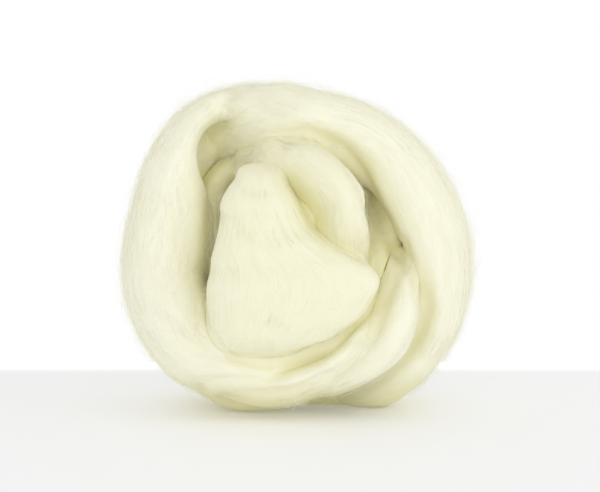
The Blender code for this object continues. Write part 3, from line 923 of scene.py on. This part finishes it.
def wool_material(look):
    """Combed wool: cream streaks along the strand and their fine relief."""
    found = bpy.data.materials.get("combed wool")
    if found:
        return found
    material = bpy.data.materials.new("combed wool")
    shader = wool_shader(material, look)
    tree = material.node_tree
    fine = streaks(tree, *FINE_STREAKS)
    both = node(tree, "ShaderNodeMath", operation="ADD")
    link(tree, streaks(tree, *BROAD_STREAKS), both.inputs[0])
    link(tree, fine, both.inputs[1])
    halved = node(tree, "ShaderNodeMath", {1: 0.5}, operation="MULTIPLY")
    link(tree, both.outputs[0], halved.inputs[0])
    colour = ramp_between(tree, halved.outputs[0], 0.25, look.shade_colour, 0.65, look.colour)
    # The streak colour, with painted shade in the creases and along the table.
    link(tree, with_painted_shade(tree, look, colour), shader.inputs["Base Color"])
    bump = node(tree, "ShaderNodeBump", {"Strength": 0.2, "Distance": FINE_RELIEF})
    link(tree, fine, bump.inputs["Height"])
    link(tree, bump.outputs["Normal"], shader.inputs["Normal"])
    return material


def fibre_material(look):
    """Single fibres: the wool's own cream, a little lighter or deeper from place to place."""
    found = bpy.data.materials.get("wool fibre")
    if found:
        return found
    material = bpy.data.materials.new("wool fibre")
    shader = wool_shader(material, look)
    # A painted glow: the fibres give off a little light of their own, standing in for light let through
    # them.
    glow = {"Emission Color": (*look.fibre_colour, 1), "Emission Strength": look.fibre_painted_glow}
    set_inputs(shader, {"Sheen Weight": 0.0, **glow})
    tree = material.node_tree
    place = node(tree, "ShaderNodeTexCoord")
    grain = node(tree, "ShaderNodeTexNoise", {"Scale": FIBRE_GRAIN})
    link(tree, place.outputs["Object"], grain.inputs["Vector"])
    colour = ramp_between(tree, grain.outputs["Fac"], 0.3, look.colour, 0.6, look.fibre_colour)
    # The fibres' colour, with painted shade where they are shut in.
    link(tree, with_painted_shade(tree, look, colour), shader.inputs["Base Color"])
    return material


# ---------------------------------------------------------------- settings


class RovingWool(bpy.types.PropertyGroup):
    colour: FloatVectorProperty(
        name="Colour", description="Of the wool in the light", subtype="COLOR",
        default=(0.97, 0.957, 0.79), min=0, max=1,
    )
    shade_colour: FloatVectorProperty(
        name="Streak colour", description="Of the deeper streaks between fibres", subtype="COLOR",
        default=(0.945, 0.93, 0.73), min=0, max=1,
    )
    fibre_colour: FloatVectorProperty(
        name="Fibre colour", description="Of the palest single fibres", subtype="COLOR",
        default=(0.99, 0.985, 0.86), min=0, max=1,
    )
    # A painted glow: emission on the fibres that stands in for light let through them.
    fibre_painted_glow: FloatProperty(
        name="Fibre glow", description="Light that single fibres let through", default=0.07, min=0, max=1
    )
    # The colour of the painted shade, deep in the creases and along the table.
    hollow_colour: FloatVectorProperty(
        name="Hollow colour", description="Of the wool deep in the creases", subtype="COLOR",
        default=(0.82, 0.78, 0.44), min=0, max=1,
    )
    roughness: FloatProperty(
        name="Roughness", description="Of the wool's shine", default=0.85, min=0, max=1, subtype="FACTOR"
    )
    sheen: FloatProperty(
        name="Sheen", description="Of the fibres seen edge on", default=0.25, min=0, max=1,
        subtype="FACTOR",
    )


class RovingFibres(bpy.types.PropertyGroup):
    length: FloatProperty(
        name="Length", description="Of the part of a fibre that shows", default=18 * MM, unit="LENGTH"
    )
    thickness: FloatProperty(
        name="Thickness", description="Of a drawn lock of fibres", default=0.055 * MM, unit="LENGTH"
    )
    lift: FloatProperty(
        name="Lift", description="How far a laid fibre bows off the strand",
        default=0.1 * MM, unit="LENGTH",
    )
    loose_lift: FloatProperty(
        name="Loose lift", description="How far a loose fibre stands off the strand",
        default=1.6 * MM, unit="LENGTH",
    )
    outer: IntProperty(name="Outer", description="Fibres laid on the outer turns", default=8000)
    inner: IntProperty(name="Inner", description="Fibres laid on the turns inside the face", default=3000)
    back: IntProperty(name="Back", description="Fibres laid on the back turns", default=5000)
    loose: IntProperty(name="Loose", description="Fibres that stand off the ball", default=4000)
    fuzz_length: FloatProperty(
        name="Fuzz length", description="Of a short stray fibre", default=6 * MM, unit="LENGTH"
    )
    fuzz_thickness: FloatProperty(
        name="Fuzz thickness", description="Of a stray fibre", default=0.05 * MM, unit="LENGTH"
    )
    fuzz_lift: FloatProperty(
        name="Fuzz lift", description="How far a short stray fibre bows off the strand",
        default=0.9 * MM, unit="LENGTH",
    )
    face_fuzz: IntProperty(name="Face fuzz", description="Short stray fibres on the face", default=15000)
    back_fuzz: IntProperty(name="Back fuzz", description="Short stray fibres on the back", default=9000)


class RovingStage(bpy.types.PropertyGroup):
    floor_colour: FloatVectorProperty(
        name="Table colour", description="Of the surface under the ball", subtype="COLOR",
        default=(0.88, 0.88, 0.89), min=0, max=1,
    )
    floor_glow: FloatProperty(name="Table glow", description="Light the table gives off", default=0.14)
    right_power: FloatProperty(name="Right light", description="Its power, in watts", default=1.4)
    front_power: FloatProperty(name="Front light", description="Its power, in watts", default=3.4)
    room: FloatProperty(name="Room light", description="Strength of the white room", default=0.81)


# ---------------------------------------------------------------- operators


class ROVING_OT_outer_turns(bpy.types.Operator):
    """Builds the outer turns, which run round the face and over the top"""

    bl_idname = "roving.outer_turns"
    bl_label = "Outer turns"

    def execute(self, context):
        build_turns("outer_turns", OUTER_TURNS)
        return {"FINISHED"}


class ROVING_OT_inner_turns(bpy.types.Operator):
    """Builds the turns inside the face, with the tucked end"""

    bl_idname = "roving.inner_turns"
    bl_label = "Inner turns and tucked end"

    def execute(self, context):
        build_turns("inner_turns", INNER_TURNS)
        return {"FINISHED"}


class ROVING_OT_back_turns(bpy.types.Operator):
    """Builds the turns that close the ball behind"""

    bl_idname = "roving.back_turns"
    bl_label = "Back turns"

    def execute(self, context):
        build_turns("back_turns", BACK_TURNS)
        return {"FINISHED"}


class ROVING_OT_laid_fibres(bpy.types.Operator):
    """Lays fine fibres along every turn"""

    bl_idname = "roving.laid_fibres"
    bl_label = "Laid fibres"

    def execute(self, context):
        look = context.scene.roving_fibres
        build_fibres("outer_fibres", OUTER_TURNS, look.outer, 51, fibre_paths, look.thickness)
        build_fibres("inner_fibres", INNER_TURNS, look.inner, 52, fibre_paths, look.thickness)
        build_fibres("back_fibres", BACK_TURNS, look.back, 53, fibre_paths, look.thickness)
        return {"FINISHED"}


class ROVING_OT_loose_fibres(bpy.types.Operator):
    """Lets fibres stand off the ball as fuzz"""

    bl_idname = "roving.loose_fibres"
    bl_label = "Loose fibres"

    def execute(self, context):
        look = context.scene.roving_fibres
        build_fibres("loose_fibres", EVERY_TURN, look.loose, 54, loose_paths, look.fuzz_thickness)
        return {"FINISHED"}


class ROVING_OT_fuzz(bpy.types.Operator):
    """Softens every turn with short stray fibres"""

    bl_idname = "roving.fuzz"
    bl_label = "Fuzz"

    def execute(self, context):
        look = context.scene.roving_fibres
        face = {**OUTER_TURNS, **INNER_TURNS}
        build_fibres("face_fuzz", face, look.face_fuzz, 55, fuzz_paths, look.fuzz_thickness)
        build_fibres("back_fuzz", BACK_TURNS, look.back_fuzz, 56, fuzz_paths, look.fuzz_thickness)
        build_frays("frays", 57)
        return {"FINISHED"}


class ROVING_OT_stage(bpy.types.Operator):
    """Sets the pale table, the soft studio light and the camera"""

    bl_idname = "roving.stage"
    bl_label = "Stage"

    def execute(self, context):
        look = context.scene.roving_stage
        build_table(look)
        build_lights(look)
        build_camera()
        return {"FINISHED"}


def build_table(look):
    """A pale table that ends behind the ball, where the backdrop starts."""
    body = bmesh.new()
    bmesh.ops.create_grid(body, x_segments=2, y_segments=2, size=1.0)
    for vert in body.verts:
        far = TABLE_BEHIND if vert.co.y > 0 else -TABLE_REACH
        vert.co = (vert.co.x * TABLE_REACH, far, 0)
    mesh = mesh_of(body, "table")
    material = bpy.data.materials.new("pale table")
    material.use_nodes = True
    shader = material.node_tree.nodes["Principled BSDF"]
    set_inputs(shader, {
        "Base Color": (*look.floor_colour, 1), "Roughness": 0.6, "Emission Color": (1, 1, 1, 1),
    })
    tree = material.node_tree
    place = node(tree, "ShaderNodeTexCoord")
    parts = node(tree, "ShaderNodeSeparateXYZ")
    fade = {
        "From Min": TABLE_BEHIND - TABLE_FADE, "From Max": TABLE_BEHIND,
        "To Min": look.floor_glow, "To Max": FAR_GLOW,
    }
    glow = node(tree, "ShaderNodeMapRange", fade, interpolation_type="SMOOTHSTEP")
    link(tree, place.outputs["Object"], parts.inputs["Vector"])
    link(tree, parts.outputs["Y"], glow.inputs["Value"])
    link(tree, glow.outputs["Result"], shader.inputs["Emission Strength"])
    mesh.materials.append(material)
    table = placed("table", mesh)


def softbox(name, at, size, power):
    """A square light that looks at the ball."""
    data = bpy.data.lights.new(name, "AREA")
    data.shape = "SQUARE"
    data.size = size
    data.energy = power
    lamp = placed(name, data)
    lamp.location = at
    lamp.rotation_euler = (Vector(LIT_PLACE) - Vector(at)).to_track_quat("-Z", "Y").to_euler()


def build_lights(look):
    """Two softboxes in a white room, before a backdrop that is pure white."""
    softbox("right softbox", *RIGHT_LIGHT, look.right_power)
    softbox("front softbox", *FRONT_LIGHT, look.front_power)
    world = bpy.data.worlds.new("white room")
    world.use_nodes = True
    tree = world.node_tree
    room = tree.nodes["Background"]
    set_inputs(room, {"Color": (1, 1, 1, 1), "Strength": look.room})
    backdrop = node(tree, "ShaderNodeBackground", {"Color": (1, 1, 1, 1)})
    seen = node(tree, "ShaderNodeLightPath")
    either = node(tree, "ShaderNodeMixShader")
    link(tree, seen.outputs["Is Camera Ray"], either.inputs["Fac"])
    link(tree, room.outputs["Background"], either.inputs[1])
    link(tree, backdrop.outputs["Background"], either.inputs[2])
    link(tree, either.outputs["Shader"], tree.nodes["World Output"].inputs["Surface"])
    bpy.context.scene.world = world
    bpy.context.scene.view_settings.view_transform = "Standard"


def build_camera():
    """A long lens that looks a little down on the face."""
    data = bpy.data.cameras.new("camera")
    data.lens = CAMERA_LENS
    data.sensor_width = SENSOR_WIDTH
    data.clip_start = 0.01
    camera = placed("camera", data)
    back = Vector((0, -math.cos(CAMERA_RISE), math.sin(CAMERA_RISE)))
    camera.location = (Vector(MIDDLE) + Vector(CAMERA_AIM)) * MM + back * CAMERA_DISTANCE
    camera.rotation_euler = (-back).to_track_quat("-Z", "Y").to_euler()
    bpy.context.scene.camera = camera


OPERATORS = (
    ROVING_OT_outer_turns,
    ROVING_OT_inner_turns,
    ROVING_OT_back_turns,
    ROVING_OT_laid_fibres,
    ROVING_OT_loose_fibres,
    ROVING_OT_fuzz,
    ROVING_OT_stage,
)


class ROVING_PT_panel(bpy.types.Panel):
    """Lists the ball's settings and the steps that build it"""

    bl_idname = "ROVING_PT_panel"
    bl_label = "Wool roving ball"
    bl_space_type = "VIEW_3D"
    bl_region_type = "UI"
    bl_category = "Roving"

    def draw(self, context):
        for group in (context.scene.roving_wool, context.scene.roving_fibres, context.scene.roving_stage):
            box = self.layout.box()
            for name in group.__annotations__:
                box.prop(group, name)
        for step in OPERATORS:
            self.layout.operator(step.bl_idname)


CLASSES = (RovingWool, RovingFibres, RovingStage, *OPERATORS, ROVING_PT_panel)


def register():
    for cls in CLASSES:
        bpy.utils.register_class(cls)
    bpy.types.Scene.roving_wool = PointerProperty(type=RovingWool)
    bpy.types.Scene.roving_fibres = PointerProperty(type=RovingFibres)
    bpy.types.Scene.roving_stage = PointerProperty(type=RovingStage)


def unregister():
    del bpy.types.Scene.roving_stage
    del bpy.types.Scene.roving_fibres
    del bpy.types.Scene.roving_wool
    for cls in reversed(CLASSES):
        bpy.utils.unregister_class(cls)


def main():
    register()
    bpy.ops.roving.outer_turns()
    bpy.ops.roving.inner_turns()
    bpy.ops.roving.back_turns()
    bpy.ops.roving.laid_fibres()
    bpy.ops.roving.loose_fibres()
    bpy.ops.roving.fuzz()
    bpy.ops.roving.stage()


if __name__ == "__main__":
    main()
